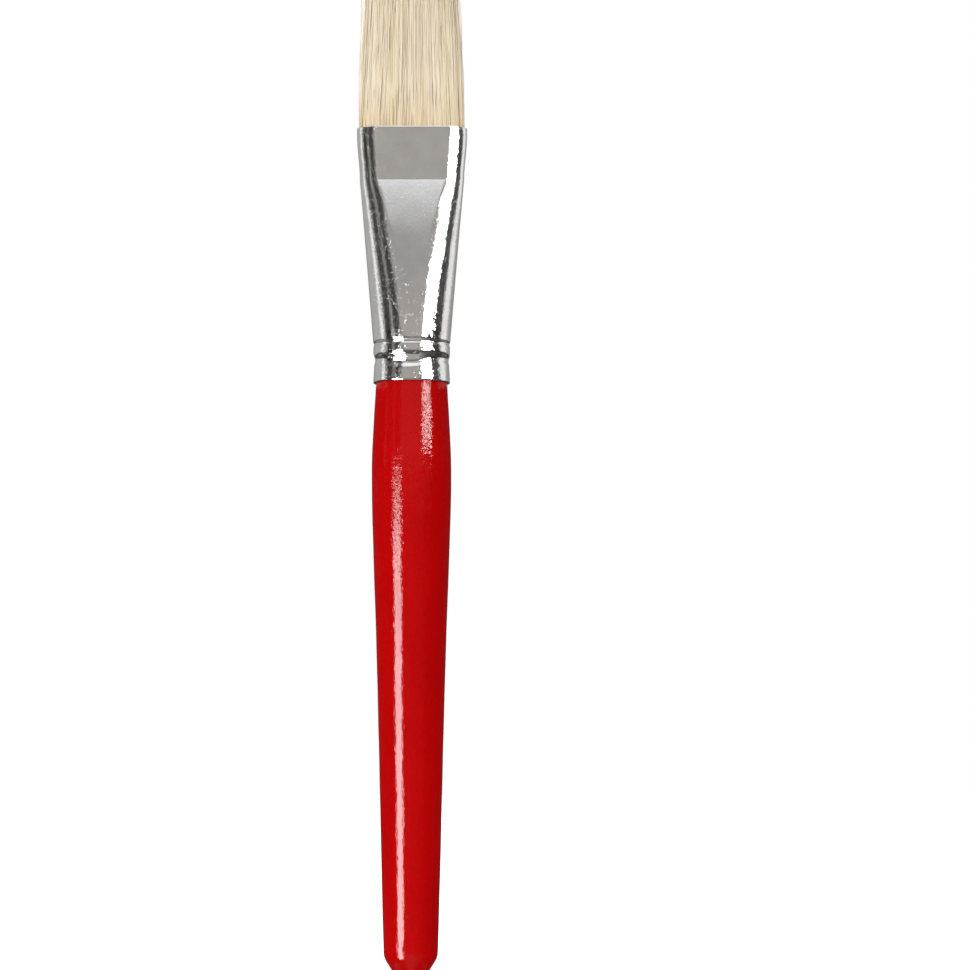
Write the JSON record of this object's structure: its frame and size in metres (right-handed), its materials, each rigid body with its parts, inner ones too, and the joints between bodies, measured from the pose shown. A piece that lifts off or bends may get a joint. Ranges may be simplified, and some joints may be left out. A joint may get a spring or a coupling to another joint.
{
  "type": "flat bristle brush",
  "caption": "Flat hog-bristle brush with a crimped metal ferrule, round at the foot and flat at the mouth, and a short thick lacquered wooden handle with a pointed tail.",
  "frame": {"origin": "on the handle's axis at its widest point, where the hand holds it", "axes": "+Z along the axis from the tail of the handle to the tips of the bristles, +Y through the thin direction of the tuft, broad faces along -Y (front) and +Y (back), +X across the tuft's width"},
  "size_m": [0.0222, 0.016, 0.2054],
  "materials": {
    "handle_wood": "matte",
    "red_lacquer": "gloss",
    "glue": "satin",
    "ferrule_metal": "polished",
    "resin": "gloss",
    "bristle": "satin"
  },
  "bodies": {
    "handle": {"handle_core": "handle_wood", "lacquer_coat": "red_lacquer", "handle_glue": "glue", "ferrule": "ferrule_metal", "root_resin": "resin", "bristle_roots": "bristle"},
    "tuft": {"front_bristles": "bristle", "front_inner_bristles": "bristle", "middle_bristles": "bristle", "back_inner_bristles": "bristle", "back_bristles": "bristle"}
  },
  "joints": [
    {"name": "tuft_flex", "type": "hinge", "parent": "handle", "child": "tuft", "pos_m": [0, 0, 0.069], "axis": [1, 0, 0], "range_deg": [-30, 30], "stiffness_Nm_per_rad": 0.06}
  ]
}
